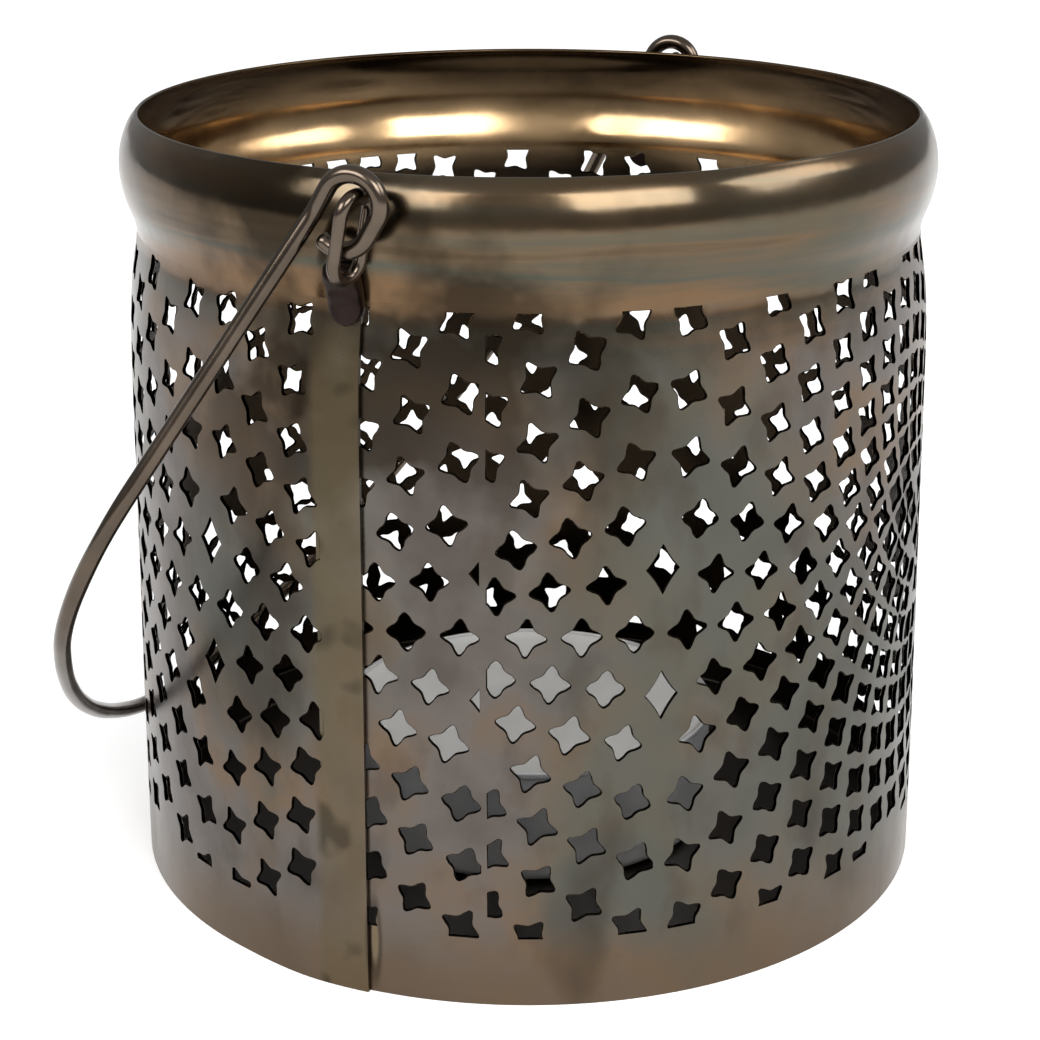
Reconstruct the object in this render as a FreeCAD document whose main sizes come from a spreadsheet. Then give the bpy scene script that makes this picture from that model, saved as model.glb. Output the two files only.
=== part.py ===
# Punched tin lantern with a wire bail and a large tealight, in millimetres.
# +Z is up and the origin is the middle of the circle that the wall stands on.
# The lap seam faces the bearing seam_bearing, and both bail lugs lie on that line.
import FreeCAD
import Part
import math
import os
import re
import Sketcher

SIZES = {
    # Bail wire and ring wire are drawn with these numbers of sides
    "bail_sides": 6,
    "ring_sides": 6,
    # Wall: one sheet rolled into a tube, drawn in to the neck at its top and lapped at the seam
    "wall_radius": 60.0,
    "wall_height": 96.5,
    "shoulder_drop": 10.5,
    "sheet": 0.6,
    "wall_sides": 60,
    "lap_share": 0.95,
    "seam_bearing": -111.4,
    # Punched pattern: rings of diamonds round the centre of each wide panel
    "ring_pitch": 3.686,
    "ring_count": 21,
    "punch_every_count": 3,
    "ray_count": 30,
    "first_panel_edge": 40.4,
    "odd_panel_edge": 16.8,
    "odd_panel_centre": -60.4,
    "pattern_height": 54.1,
    "pattern_drop": 2.3,
    "diamond_reach": 2.5,
    "foot_band": 10.2,
    "top_band": 1.0,
    "seam_band": 6.8,
    "punch_overrun": 0.6,
    # Collar: a spun ring with a hollow neck and a rolled bead under the lip
    "neck_depth": 2.0,
    "neck_arc": 12.0,
    "bead_swell": 0.1,
    "bead_arc": 12.3,
    "bead_rise": 10.7,
    "lip_rise": 18.4,
    "neck_sides": 2,
    "bead_sides": 4,
    # Base: a dished plate pushed up inside the foot of the wall
    "floor_height": 1.5,
    "base_flange": 6.0,
    "base_gap": 0.1,
    # Lugs: an oval ring of wire that leans in an ear brazed to the neck, front and back
    "lug_wire": 0.9,
    "lug_half_width": 2.6,
    "lug_straight": 6.2,
    "lug_gap": 0.1,
    "lug_lean": 12.0,
    "lug_turn": 15.0,
    "hinge_drop": 1.7,
    "hinge_shift": 2.1,
    "ear_width": 4.7,
    "ear_lap": 1.5,
    "ear_height": 8.6,
    "ear_shift": 2.0,
    "ear_foot_swell": 0.5,
    # Bail: one wire with an eye at each end, straight arms and a wide bow
    "bail_wire": 1.2,
    "eye_radius": 3.8,
    "eye_straight": 2.6,
    "eye_clearance": 0.3,
    "eye_tail_turn": 15.0,
    "arm_bend": 8.0,
    "arm_lean": 15.5,
    "arm_length": 42.3,
    "shoulder_bend": 35.0,
    "shoulder_turn": 52.4,
    "flank_bend": 110.0,
    "flank_turn": 31.8,
    "rest_gap": 0.3,
    # Tealight: wax in a thin metal cup, with a wick on a small foot
    "cup_radius": 29.0,
    "cup_height": 18.0,
    "cup_sheet": 0.3,
    "cup_seat_gap": 0.1,
    "wax_gap": 0.05,
    "wax_below_rim": 0.6,
    "wick_radius": 0.9,
    "wick_above_wax": 7.0,
    "foot_radius": 8.0,
    "foot_sheet": 0.4,
}

NECK_RADIUS = "(wall_radius - neck_depth)"
BEAD_RADIUS = "(wall_radius + bead_swell)"
BEAD_HEIGHT = "(wall_height + bead_rise)"
LIP_HEIGHT = "(wall_height + lip_rise)"
LUG_REACH = f"({BEAD_RADIUS} + lug_gap + lug_wire + lug_half_width)"
HINGE_HEIGHT = f"({LIP_HEIGHT} - hinge_drop)"

doc = FreeCAD.newDocument("punched_lantern")
table = doc.addObject("Spreadsheet::Sheet", "Sizes")
for row, (alias, number) in enumerate(SIZES.items(), start=1):
    table.set(f"A{row}", alias)
    table.set(f"B{row}", str(number))
    table.setAlias(f"B{row}", alias)
doc.recompute()


def size(alias):
    """The number in the table's cell."""
    return float(table.get(alias))


def point(x, y, z):
    return FreeCAD.Vector(x, y, z)


def cells(expression):
    """The expression with each alias written as a cell of the table."""
    def cell(word):
        return f"Sizes.{word[0]}" if word[0] in SIZES else word[0]
    return re.sub("[a-z_]+", cell, expression)


def bind(item, prop, expression):
    item.setExpression(prop, cells(expression))


def value(expression):
    """The number that an expression of aliases gives."""
    answer = table.evalExpression(cells(expression))
    return float(getattr(answer, "Value", answer))


def turned(degrees_about_z):
    return FreeCAD.Placement(point(0, 0, 0), FreeCAD.Rotation(point(0, 0, 1), degrees_about_z))


def new_body(name):
    body = doc.addObject("PartDesign::Body", name)
    body.Label = name
    return body


def new_sketch(body, name, plane):
    """A sketch on one of the body's own origin planes."""
    sketch = body.newObject("Sketcher::SketchObject", name)
    support = next(item for item in body.Origin.OriginFeatures if item.Role == plane)
    sketch.AttachmentSupport = [(support, "")]
    sketch.MapMode = "FlatFace"
    return sketch


def name_and_bind(sketch, index, name, expression):
    sketch.renameConstraint(index, name)
    bind(sketch, f"Constraints.{name}", expression)


def bound_polygon(sketch, corners):
    """A closed outline whose corners are pairs of expressions, none of them negative."""
    places = [point(value(across), value(up), 0) for across, up in corners]
    count = len(places)
    for index in range(count):
        sketch.addGeometry(Part.LineSegment(places[index], places[(index + 1) % count]))
    for index in range(count):
        sketch.addConstraint(Sketcher.Constraint("Coincident", index, 2, (index + 1) % count, 1))
    for index, (across, up) in enumerate(corners):
        for kind, axis, expression in (("DistanceX", -2, across), ("DistanceY", -1, up)):
            if expression == "0":
                sketch.addConstraint(Sketcher.Constraint("PointOnObject", index, 1, axis))
                continue
            put = sketch.addConstraint(
                Sketcher.Constraint(kind, index, 1, value(expression))
            )
            name_and_bind(sketch, put, f"{kind.lower()}_{index}", expression)


def turn_profile(body, sketch):
    """The sketch turned once round the lantern's axis."""
    spin = body.newObject("PartDesign::Revolution", f"{body.Name}_turned")
    spin.Profile = sketch
    spin.ReferenceAxis = (sketch, ["V_Axis"])
    spin.Angle = 360.0
    sketch.Visibility = False
    body.Tip = spin
    return spin


def boolean(kind, name, base, tool):
    result = doc.addObject(f"Part::{kind}", name)
    result.Label = name
    result.Base = base
    result.Tool = tool
    return result


def turned_piece(name, corners):
    body = new_body(name)
    sketch = new_sketch(body, f"{name}_profile", "XZ_Plane")
    bound_polygon(sketch, corners)
    turn_profile(body, sketch)
    return body


# Round forms with many flat sides

def flat_sided(name, corners):
    """A solid of many flat sides through rings of the given radii and heights."""
    rings = []
    for index, (radius, height) in enumerate(corners):
        ring = doc.addObject("Part::RegularPolygon", f"{name}_ring_{index}")
        bind(ring, "Polygon", "wall_sides")
        bind(ring, "Circumradius", radius)
        bind(ring, "Placement.Base.z", height)
        rings.append(ring)
    form = doc.addObject("Part::Loft", name)
    form.Sections = rings
    form.Solid = True
    form.Ruled = True
    return form


# The wall sheet

def tube_corners(inset):
    foot_radius = collar_curve("0 * sheet")[0][0]
    return [
        (f"wall_radius - {inset}", "0"),
        (f"wall_radius - {inset}", "wall_height - shoulder_drop"),
        (f"{foot_radius} - {inset}", "wall_height"),
    ]


def seam_lap():
    """The outer end of the sheet: the last flat before the seam, swung out by one thickness."""
    side = size("wall_sides")
    flat = 2 * size("wall_radius") * math.sin(math.pi / side)
    hinge_line = turned(-360 / side).multVec(point(size("wall_radius"), 0, 0))
    swing = math.degrees(math.asin(size("sheet") / flat))
    swung = flat_sided("lap_tube", tube_corners("0 * sheet"))
    swung.Placement = FreeCAD.Placement(
        point(0, 0, 0), FreeCAD.Rotation(point(0, 0, 1), -swing), hinge_line
    )
    body = new_body("lap_sector")
    plan = new_sketch(body, "lap_sector_plan", "XY_Plane")
    reach = "(2 * wall_radius)"
    span = "(lap_share * 360 deg / wall_sides)"
    bound_polygon(plan, [
        ("0", "0"),
        (f"{reach} * cos({span})", f"{reach} * sin({span})"),
        (reach, "0"),
    ])
    pad = body.newObject("PartDesign::Pad", "lap_sector_pad")
    pad.Profile = plan
    bind(pad, "Length", "wall_height")
    body.Tip = pad
    body.Placement = turned(-360 / side)
    return boolean("Common", "seam_lap", swung, body)


def panels():
    """Each panel as its rosette's centre and its two edges, along the rolled-out sheet."""
    half = size("ring_pitch") * size("ring_count")
    last = 2 * math.pi * size("wall_radius") - size("seam_band")
    yield size("odd_panel_centre"), 0, size("odd_panel_edge")
    centre = size("first_panel_edge") - half
    start = size("odd_panel_edge")
    while start < last:
        end = min(centre + half, last)
        yield centre, start, end
        start = end
        centre += 2 * half


def rosette(ring):
    """The angles of one ring's holes: full rings outside, thinned towards the centre."""
    if ring == 0:
        return [0.0]
    rays = int(size("ray_count"))
    inner_share, middle_share, outer_share = 1 / 10, 1 / 5, 1 / 3
    if ring <= inner_share * size("ring_count"):
        rays //= 5
    elif ring <= middle_share * size("ring_count"):
        rays //= 3
    elif ring < outer_share * size("ring_count"):
        rays //= 2
    step = 360 / rays
    offset = step / 2 if ring % 2 else 0
    return [offset + step * index for index in range(rays)]


def hole_places():
    """Each hole as its distance along the sheet, its height and its ray's angle."""
    round_length = 2 * math.pi * size("wall_radius")
    clear = size("diamond_reach")
    low = size("foot_band") + clear
    high = size("wall_height") - size("top_band") - clear
    for centre, start, end in panels():
        for ring in range(0, 3 * int(size("ring_count")), int(size("punch_every_count"))):
            radius = ring * size("ring_pitch")
            for ray in rosette(ring):
                along = centre + radius * math.cos(math.radians(ray))
                drop = size("pattern_drop") * along / round_length
                up = size("pattern_height") - drop + radius * math.sin(math.radians(ray))
                if start + clear < along < end - clear / 2 and low < up < high:
                    yield along, up, ray


def punch(along, up, ray):
    """A diamond bar that runs through the sheet towards the axis."""
    bearing = along / size("wall_radius")
    outward = point(math.cos(bearing), math.sin(bearing), 0)
    sideways = point(-math.sin(bearing), math.cos(bearing), 0)
    inner = value(f"{NECK_RADIUS} - sheet - punch_overrun")
    outer = value("wall_radius + sheet + punch_overrun")
    middle = outward * inner + point(0, 0, up)
    reach = size("diamond_reach")
    corners = []
    for corner in range(4):
        angle = math.radians(ray + 90 * corner)
        across = sideways * (reach * math.cos(angle))
        corners.append(middle + across + point(0, 0, reach * math.sin(angle)))
    outline = Part.makePolygon(corners + corners[:1])
    return Part.Face(outline).extrude(outward * (outer - inner))


def wall_sheet():
    """The punched sheet, and the solid form of its outside."""
    place = turned(size("seam_bearing"))
    outside = flat_sided("wall_outside", tube_corners("0 * sheet"))
    form = boolean("Fuse", "wall_form", outside, seam_lap())
    inside = flat_sided("wall_inside", tube_corners("sheet"))
    punches = doc.addObject("Part::Feature", "wall_punches")
    punches.Shape = Part.makeCompound([punch(*hole) for hole in hole_places()])
    for item in (form, inside, punches):
        item.Placement = place
    tube = boolean("Cut", "wall_tube", form, inside)
    return boolean("Cut", "wall_sheet", tube, punches), form


# The collar

def collar_curve(inset):
    """Corners of the neck's hollow and the bead's round, from the foot up to the lip."""
    inward = f"(neck_arc + {inset})"
    outward = f"(bead_arc - {inset})"
    across = f"({NECK_RADIUS} + neck_arc - {BEAD_RADIUS} + bead_arc)"
    apart = "(neck_arc + bead_arc)"
    meet = f"acos({across} / {apart})"
    neck_height = f"({BEAD_HEIGHT} - sqrt({apart} ^ 2 - {across} ^ 2))"
    foot = f"asin(({neck_height} - wall_height) / {inward})"
    lip = f"asin(({LIP_HEIGHT} - {BEAD_HEIGHT}) / {outward})"
    corners = []
    for side in range(int(size("neck_sides"))):
        angle = f"(({foot} + {meet}) * {side} / neck_sides - {foot})"
        corners.append((
            f"{NECK_RADIUS} + neck_arc - {inward} * cos({angle})",
            f"{neck_height} + {inward} * sin({angle})",
        ))
    for side in range(int(size("bead_sides")) + 1):
        angle = f"(({lip} + {meet}) * {side} / bead_sides - {meet})"
        corners.append((
            f"{BEAD_RADIUS} - bead_arc + {outward} * cos({angle})",
            f"{BEAD_HEIGHT} + {outward} * sin({angle})",
        ))
    return corners


# The lug rings and their ears

def hinge_point(way):
    """Where the ring's top carries the bail; way is 1 at the front and -1 at the back."""
    return point(value(LUG_REACH), way * size("hinge_shift"), value(HINGE_HEIGHT))


def wire_section(name, across, up):
    """The ring's wire cut level, at one side of the oval."""
    section = doc.addObject("Part::RegularPolygon", name)
    bind(section, "Polygon", "ring_sides")
    bind(section, "Circumradius", "lug_wire")
    bind(section, "Placement.Base.x", across)
    bind(section, "Placement.Base.z", up)
    return section


def lug_ring(name, place, way):
    """An oval: two half turns joined by two straight strands, hung from its top."""
    lengths = []
    for end, up in ((1, "- lug_half_width"), (-1, "- lug_half_width - lug_straight")):
        half_turn = doc.addObject("Part::Revolution", f"{name}_{'top' if end > 0 else 'foot'}")
        half_turn.Source = wire_section(f"{half_turn.Name}_section", "lug_half_width", up)
        half_turn.Axis = point(0, -end, 0)
        half_turn.Base = point(0, 0, value(up))
        bind(half_turn, "Base.z", up)
        half_turn.Angle = 180
        half_turn.Solid = True
        lengths.append(half_turn)
    for side, across in (("near", "- lug_half_width"), ("far", "lug_half_width")):
        strand = doc.addObject("Part::Extrusion", f"{name}_{side}_strand")
        strand.Base = wire_section(
            f"{strand.Name}_section", across, "- lug_half_width - lug_straight"
        )
        strand.DirMode = "Custom"
        strand.Dir = point(0, 0, 1)
        bind(strand, "LengthFwd", "lug_straight")
        strand.Solid = True
        lengths.append(strand)
    ring = doc.addObject("Part::MultiFuse", name)
    ring.Label = name
    ring.Shapes = lengths
    ring.Refine = True
    turn = FreeCAD.Rotation(point(0, 0, 1), -way * size("lug_turn"))
    lean = FreeCAD.Rotation(point(1, 0, 0), -way * size("lug_lean"))
    ring.Placement = place * FreeCAD.Placement(hinge_point(way), turn * lean)
    return ring


def ear(name, place, way, ring, carriers):
    """A small ear that fills the gap between the neck and the foot of its ring."""
    ear_foot = "(wall_height - ear_lap)"
    ear_top = f"({ear_foot} + ear_height)"
    strand = f"({LUG_REACH} - lug_half_width)"
    ring_foot = f"({HINGE_HEIGHT} - lug_straight - 2 * lug_half_width)"
    flank = new_body(f"{name}_flank")
    side = new_sketch(flank, f"{name}_flank_outline", "XZ_Plane")
    bound_polygon(side, [
        ("wall_radius - ear_width", ear_foot),
        ("wall_radius + ear_foot_swell", ear_foot),
        (f"{strand} + lug_wire", ring_foot),
        (strand, ear_top),
        ("wall_radius - ear_width", ear_top),
    ])
    pad = flank.newObject("PartDesign::Pad", f"{name}_flank_pad")
    pad.Profile = side
    bind(pad, "Length", "2 * (ear_width + ear_shift)")
    pad.Midplane = True
    flank.Tip = pad
    front = new_body(f"{name}_front")
    face = new_sketch(front, f"{name}_front_outline", "YZ_Plane")
    half = value("ear_width") / 2
    low = value(ear_foot) + half
    high = value(ear_top)
    face.addGeometry(Part.ArcOfCircle(
        Part.Circle(point(0, low, 0), point(0, 0, 1), half), math.pi, 2 * math.pi
    ))
    face.addGeometry(Part.LineSegment(point(half, low, 0), point(half, high, 0)))
    face.addGeometry(Part.LineSegment(point(half, high, 0), point(-half, high, 0)))
    face.addGeometry(Part.LineSegment(point(-half, high, 0), point(-half, low, 0)))
    rule = Sketcher.Constraint
    face.addConstraint(rule("Tangent", 0, 2, 1, 1))
    face.addConstraint(rule("Coincident", 1, 2, 2, 1))
    face.addConstraint(rule("Coincident", 2, 2, 3, 1))
    face.addConstraint(rule("Tangent", 3, 2, 0, 1))
    face.addConstraint(rule("Horizontal", 2))
    face.addConstraint(rule("PointOnObject", 0, 3, -2))
    for name_of_rule, made, expression in (
        ("round_end", rule("Radius", 0, half), "ear_width / 2"),
        ("round_centre", rule("DistanceY", 0, 3, low), f"{ear_foot} + ear_width / 2"),
        ("top", rule("DistanceY", 1, 2, high), ear_top),
    ):
        name_and_bind(face, face.addConstraint(made), name_of_rule, expression)
    tab = front.newObject("PartDesign::Pad", f"{name}_front_pad")
    tab.Profile = face
    bind(tab, "Length", f"{LUG_REACH} + ear_width")
    front.Placement.Base = point(0, -way * size("ear_shift"), 0)
    front.Tip = tab
    doc.recompute()
    block = boolean("Common", f"{name}_block", flank, front)
    block.Placement = place
    for number, carrier in enumerate(carriers):
        block = boolean("Cut", f"{name}_seated_{number}", block, carrier)
    return boolean("Cut", name, block, ring)


# The bail

def swept_wire(name, path, radius, place):
    """A many-sided wire along a path of lines and arcs."""
    spine = doc.addObject("Part::Feature", f"{name}_path")
    spine.Shape = path
    first = path.OrderedEdges[0]
    section = doc.addObject("Part::RegularPolygon", f"{name}_section")
    bind(section, "Polygon", "bail_sides")
    bind(section, "Circumradius", radius)
    section.Placement = FreeCAD.Placement(
        first.valueAt(first.FirstParameter),
        FreeCAD.Rotation(point(0, 0, 1), first.tangentAt(first.FirstParameter)),
    )
    wire = doc.addObject("Part::Sweep", name)
    wire.Label = name
    wire.Sections = [section]
    wire.Spine = (spine, [f"Edge{index + 1}" for index in range(len(path.Edges))])
    wire.Solid = True
    wire.Frenet = False
    wire.Placement = place
    return wire


def bail_path():
    """The wire's centre line in the bail's own frame: x along the hinge, arms down -Z."""
    eye = size("eye_radius")
    eye_down = eye - value("bail_wire + lug_wire + eye_clearance")
    low = eye_down + size("eye_straight")
    half_span = value(LUG_REACH)

    def round_eye(down, degrees):
        angle = math.radians(degrees)
        return point(half_span, -eye * math.sin(angle), eye * math.cos(angle) - down)

    tail = 180 - size("eye_tail_turn")
    edges = [
        Part.Arc(round_eye(low, tail), round_eye(low, (tail + 270) / 2), round_eye(low, 270)),
        Part.LineSegment(round_eye(low, 270), round_eye(eye_down, 270)),
        Part.Arc(round_eye(eye_down, 270), round_eye(eye_down, 0), round_eye(eye_down, 90)),
        Part.LineSegment(round_eye(eye_down, 90), round_eye(low, 90)),
    ]

    def in_bow(across, down):
        return point(across, -eye, -down)

    def bend(start, radius, first, last):
        """An arc in the plane of the bow, from one heading to another, and its end."""
        side = 1 if last < first else -1

        def stop(heading):
            across = start[0] + side * radius * (math.cos(heading) - math.cos(first))
            down = start[1] - side * radius * (math.sin(heading) - math.sin(first))
            return across, down
        middle, end = stop((first + last) / 2), stop(last)
        edges.append(Part.Arc(in_bow(*start), in_bow(*middle), in_bow(*end)))
        return end

    lean = math.radians(size("arm_lean"))
    past_shoulder = lean - math.radians(size("shoulder_turn"))
    past_flank = past_shoulder - math.radians(size("flank_turn"))
    arm_start = bend((half_span, low), size("arm_bend"), 0, lean)
    length = size("arm_length")
    arm_end = (
        arm_start[0] + length * math.sin(lean), arm_start[1] + length * math.cos(lean)
    )
    edges.append(Part.LineSegment(in_bow(*arm_start), in_bow(*arm_end)))
    flank = bend(arm_end, size("shoulder_bend"), lean, past_shoulder)
    bow_start = bend(flank, size("flank_bend"), past_shoulder, past_flank)
    bow = bow_start[0] / math.cos(past_flank)
    lowest = bow_start[1] + bow * (1 + math.sin(past_flank))
    front = [edge.toShape() for edge in edges]
    over = FreeCAD.Matrix()
    over.scale(-1, 1, 1)
    back = [edge.transformGeometry(over) for edge in front]
    far = point(-bow_start[0], -eye, -bow_start[1])
    front.append(Part.Arc(in_bow(*bow_start), in_bow(0, lowest), far).toShape())
    return Part.Wire(Part.__sortEdges__(front + back)), lowest


def rest_angle(lowest):
    """How far the bail hangs from straight down when its bow rests on the wall."""
    touch = size("wall_radius") + size("bail_wire") + size("rest_gap")
    radius = math.hypot(lowest, size("eye_radius"))
    here = math.asin((touch + size("hinge_shift")) / radius)
    there = math.asin((touch - size("hinge_shift")) / radius)
    print("bail swings over by", round(360 - math.degrees(here + there), 2), "degrees")
    return math.degrees(here - math.atan2(size("eye_radius"), lowest))


def bail():
    path, lowest = bail_path()
    hang = rest_angle(lowest)
    hinge = FreeCAD.Placement(
        point(0, size("hinge_shift"), value(HINGE_HEIGHT)),
        FreeCAD.Rotation(point(1, 0, 0), -hang),
    )
    place = turned(size("seam_bearing"))
    print("bail hangs", round(hang, 3), "degrees from straight down")
    print("bail turns about", place.multVec(hinge.Base))
    return swept_wire("bail", path, "bail_wire", place * hinge)


# All the pieces

wall, wall_form = wall_sheet()
collar_form = flat_sided("collar_form", collar_curve("0 * sheet"))
collar_hollow = flat_sided("collar_hollow", collar_curve("sheet"))
plate_radius = "wall_radius - sheet - base_gap"
plate_form = flat_sided("plate_form", [
    (plate_radius, "floor_height"),
    (plate_radius, "floor_height + base_flange"),
])
plate_hollow = flat_sided("plate_hollow", [
    (f"{plate_radius} - sheet", "floor_height + sheet"),
    (f"{plate_radius} - sheet", "floor_height + base_flange"),
])
for form in (collar_form, collar_hollow, plate_form, plate_hollow):
    form.Placement = turned(size("seam_bearing"))
collar = boolean("Cut", "collar", collar_form, collar_hollow)
base = boolean("Cut", "base_plate", plate_form, plate_hollow)

lugs = []
for label, way in (("front", 1), ("back", -1)):
    place = turned(size("seam_bearing") + (0 if way == 1 else 180))
    ring = lug_ring(f"{label}_lug_ring", place, way)
    doc.recompute()
    lugs += [ring, ear(f"{label}_ear", place, way, ring, (collar_form, wall_form))]

handle = bail()

seat = "floor_height + sheet + cup_seat_gap"
cup_floor = f"{seat} + cup_sheet"
cup_rim = f"{seat} + cup_height"
foot_top = f"{cup_floor} + foot_sheet"
wax_top = f"{cup_rim} - wax_below_rim"
cup_form = flat_sided("cup_form", [("cup_radius", seat), ("cup_radius", cup_rim)])
cup_hollow = flat_sided("cup_hollow", [
    ("cup_radius - cup_sheet", cup_floor),
    ("cup_radius - cup_sheet", cup_rim),
])
cup = boolean("Cut", "candle_cup", cup_form, cup_hollow)
wick_foot = flat_sided("wick_foot", [("foot_radius", cup_floor), ("foot_radius", foot_top)])
wick = turned_piece("wick", [
    ("0", foot_top),
    ("wick_radius", foot_top),
    ("wick_radius", f"{wax_top} + wick_above_wax"),
    ("0", f"{wax_top} + wick_above_wax"),
])
wax_form = flat_sided("wax_form", [
    ("cup_radius - cup_sheet - wax_gap", cup_floor),
    ("cup_radius - cup_sheet - wax_gap", wax_top),
])
footed = boolean("Cut", "wax_over_foot", wax_form, wick_foot)
wax = boolean("Cut", "candle_wax", footed, wick)

doc.recompute()
for item in doc.Objects:
    if "Invalid" in item.State or "Error" in item.State:
        raise RuntimeError(f"{item.Label} failed: {item.State}")

os.makedirs("parts", exist_ok=True)
for node in [wall, collar, base, *lugs, handle, cup, wax, wick, wick_foot]:
    shape = node.Shape
    if shape.isNull() or not shape.isValid():
        raise RuntimeError(f"{node.Label} has no valid shape")
    shape.exportStep(f"parts/{node.Label}.step")
    print(node.Label, len(shape.Solids), "solid", round(shape.Volume, 1), "mm3")
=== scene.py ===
"""Punched tin lantern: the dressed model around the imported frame, in metres."""
import math
import random

import bpy
from mathutils import Matrix, Vector
from mathutils.geometry import delaunay_2d_cdt
from mathutils.kdtree import KDTree


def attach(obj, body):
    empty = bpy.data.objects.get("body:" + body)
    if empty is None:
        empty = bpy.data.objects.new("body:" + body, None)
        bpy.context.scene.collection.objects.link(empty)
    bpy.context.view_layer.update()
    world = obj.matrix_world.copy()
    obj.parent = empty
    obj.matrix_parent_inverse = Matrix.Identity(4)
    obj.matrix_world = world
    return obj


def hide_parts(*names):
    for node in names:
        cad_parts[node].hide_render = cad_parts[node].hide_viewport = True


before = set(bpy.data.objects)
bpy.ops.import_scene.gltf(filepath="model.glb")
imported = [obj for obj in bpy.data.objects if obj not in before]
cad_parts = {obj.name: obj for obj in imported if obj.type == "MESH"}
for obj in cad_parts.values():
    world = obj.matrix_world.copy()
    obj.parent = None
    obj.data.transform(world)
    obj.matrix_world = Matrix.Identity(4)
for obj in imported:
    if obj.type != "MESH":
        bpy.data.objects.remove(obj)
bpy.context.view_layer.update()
MM = 0.001
PUNCH_SEED = 7
chance = random.Random(PUNCH_SEED)

# Sizes in millimetres, as in the CAD source
WALL_RADIUS = 60.0
WALL_TOP = 98.2
LIP_HEIGHT = 114.9
BEAD_RADIUS = 60.1
SHEET = 0.6
SEAM_BEARING = math.radians(-111.4)
TURN = 2 * math.pi * WALL_RADIUS
LAP = 7.0
LAP_EASE = 16.0
LAP_GAP = 0.1

# Outer radius of wall, neck and bead at each height
PROFILE = [
    (0.0, 60.25), (4.0, 60.25), (20.0, 60.2), (40.0, 60.0), (60.0, 59.8), (78.0, 59.65),
    (86.0, 59.4), (91.0, 58.95), (95.0, 58.35), (97.6, 57.95), (100.0, 58.3), (103.0, 59.4),
    (105.5, 59.95), (107.6, BEAD_RADIUS), (110.2, 59.8), (112.6, 59.0), (114.0, 58.2),
    (LIP_HEIGHT, 57.4),
]
SLOPE_STEP = 0.2


# Form of the rolled sheet

def profile_radius(height):
    """Smooth curve through the profile's points, with slopes taken from their neighbours."""
    last = len(PROFILE) - 1
    index = 0
    while index < last - 1 and height > PROFILE[index + 1][0]:
        index += 1
    (z0, r0), (z1, r1) = PROFILE[index], PROFILE[index + 1]

    def slope(at):
        before = PROFILE[max(at - 1, 0)]
        after = PROFILE[min(at + 1, last)]
        return (after[1] - before[1]) / (after[0] - before[0])

    span = z1 - z0
    t = min(max((height - z0) / span, 0), 1)
    start = (2 * t ** 3 - 3 * t ** 2 + 1) * r0 + (t ** 3 - 2 * t ** 2 + t) * span * slope(index)
    end = (3 * t ** 2 - 2 * t ** 3) * r1 + (t ** 3 - t ** 2) * span * slope(index + 1)
    return start + end


def profile_slope(height):
    """How fast the radius grows with height."""
    rise = profile_radius(height + SLOPE_STEP) - profile_radius(height - SLOPE_STEP)
    return rise / (2 * SLOPE_STEP)


def ease(value):
    """0 to 1 with level ends."""
    value = min(max(value, 0), 1)
    return value * value * (3 - 2 * value)


def lap_rise(along):
    """How far the sheet's outer end stands off the tube, to clear the end that it covers."""
    left = TURN - along
    return (SHEET + LAP_GAP) * ease(1 - (left - LAP) / LAP_EASE)


def bearing_at(along):
    """Bearing from the axis of a place along the sheet."""
    return SEAM_BEARING + along / WALL_RADIUS


def rolled(along, height, depth=0.0):
    """A place on the rolled sheet: along it from the seam edge, up, and in from the outside."""
    slope = profile_slope(height)
    lean = 1 / math.hypot(1, slope)
    radius = profile_radius(height) + lap_rise(along) - depth * lean
    bearing = bearing_at(along)
    up = height + depth * slope * lean
    return Vector((radius * math.cos(bearing), radius * math.sin(bearing), up)) * MM


def outward(along, height):
    """Direction square to the outside of the rolled sheet."""
    bearing = bearing_at(along)
    return Vector((math.cos(bearing), math.sin(bearing), -profile_slope(height))).normalized()


# The punched pattern, in millimetres along and up the sheet

# Rings and rays of each rosette, the rays in degrees
RING_PITCH = 3.686
RINGS = 45
RAY_STEP = 12
THINNED_RINGS = 7

# Panels: half a panel, the first and the odd one's edges, and the plain band at the seam
PANEL_HALF = 21 * RING_PITCH
FIRST_EDGE = 40.4
ODD_EDGE = 16.9
ODD_CENTRE = -60.4
SEAM_BAND = 5.2

# Height of the rosettes' middles at the seam, and how far it drops in one turn
PATTERN_HEIGHT = 54.1
PATTERN_DROP = 2.3

# Where the pattern is cut off: at the foot, at the top and short of each panel's end
FOOT_BAND = 10.2
TOP_BAND = 97.4
EDGE_BAND = 1.0

# How far past an edge or a band a star's middle may lie
EDGE_REACH = 0.8
BAND_REACH = 1.0

# Least area of a hole and of a whole one, and least distances from a whole and a cut one
SMALLEST_HOLE = 3.0
WHOLE_HOLE = 7.5
HOLE_SPACING = 4.15
PART_SPACING = 4.3

# One punch: its sizes, how far it strays in shares, degrees and millimetres, and each
# quarter's points as an angle from the tip and a share of the tip's or the waist's reach
TIP_REACH = 2.70
TIP_STRAY = (0.95, 1.04)
WAIST_REACH = 1.60
WAIST_STRAY = (0.94, 1.08)
TILT_STRAY = 4
PUNCH_STRAY = 0.12
TIP_SHARES = ((-5, 0.97), (0, 1.0), (5, 0.97))
WAIST_SHARES = ((18, 1.30), (31, 1.07), (45, 1.0), (59, 1.07), (72, 1.30))

# The tall holes between panels, above and below the rosettes' middles
JOINT_HOLE_WIDTH = 4.5
JOINT_HOLE_HEIGHT = 6.8
JOINT_HOLE_RISE = 8.9
JOINT_HOLE_POINTS = 24
JOINT_HOLE_HOLLOW = 2.3


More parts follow.
